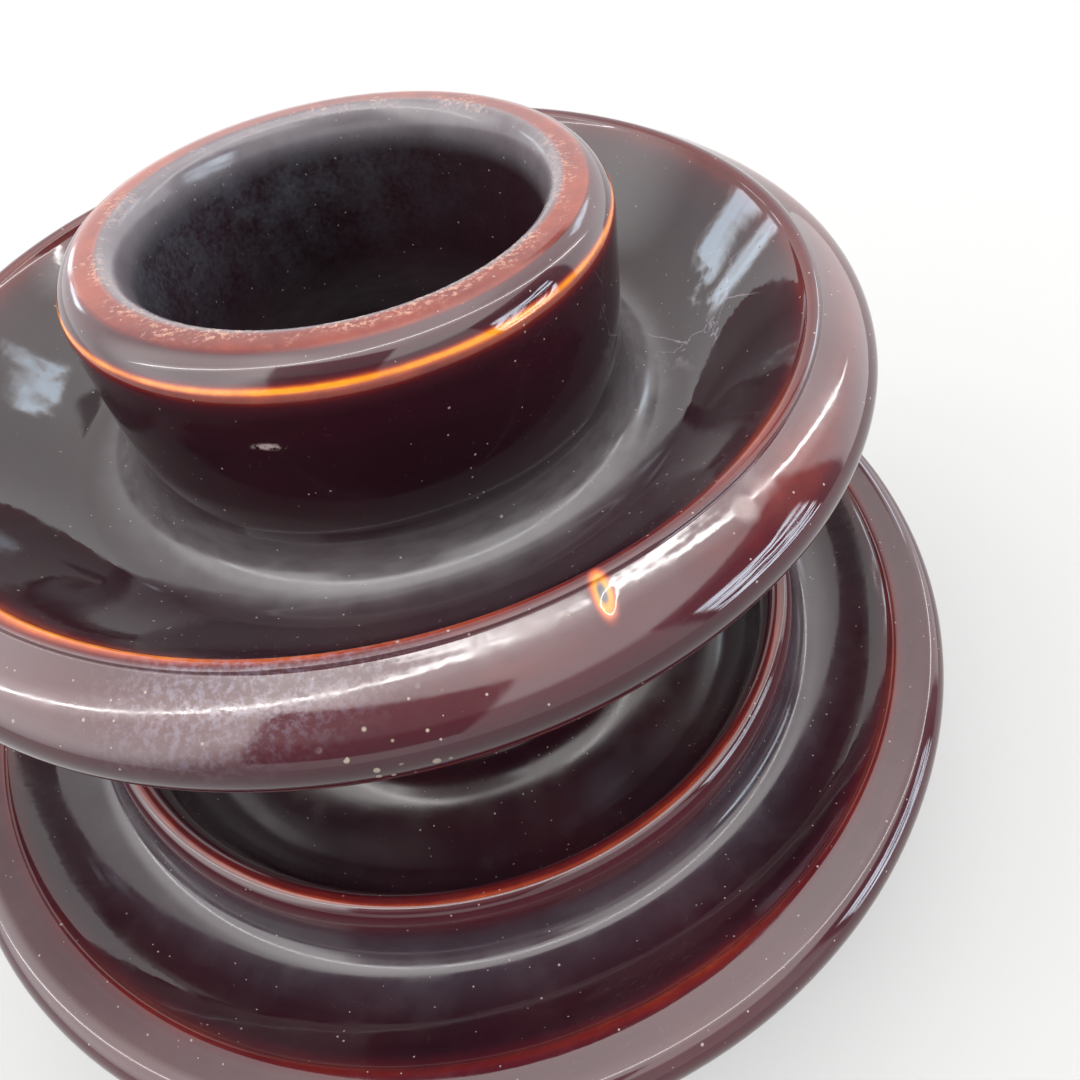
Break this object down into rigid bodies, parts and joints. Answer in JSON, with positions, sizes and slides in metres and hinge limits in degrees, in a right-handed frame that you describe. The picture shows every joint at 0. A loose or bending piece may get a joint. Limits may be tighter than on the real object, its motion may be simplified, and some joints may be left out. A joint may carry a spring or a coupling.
{
  "type": "pin insulator",
  "caption": "Multi-part brown-glazed porcelain pin insulator for a power line, stood on its crown, with nested skirts and a threaded pin hole facing up.",
  "frame": {"origin": "centre of the crown's flat face, which the insulator stands on", "axes": "+Z along the pin hole's axis, from the crown out through the pin hole's rim; the conductor saddle across the crown runs along X"},
  "size_m": [0.3048, 0.3048, 0.2413],
  "materials": {
    "brown_glaze": "gloss",
    "fired_sand": "matte",
    "bitumen": "satin",
    "cement": "matte",
    "zinc": "satin"
  },
  "bodies": {
    "root": {"head_shell": "brown_glaze", "centre_shell": "brown_glaze", "socket_sand_band": "fired_sand", "trunk_sand_band": "fired_sand", "pin_hole_sand_band": "fired_sand", "trunk_bitumen_coat": "bitumen", "thimble_bitumen_coat": "bitumen", "joint_cement": "cement", "thimble_cement": "cement", "pin_thimble": "zinc"}
  },
  "joints": []
}
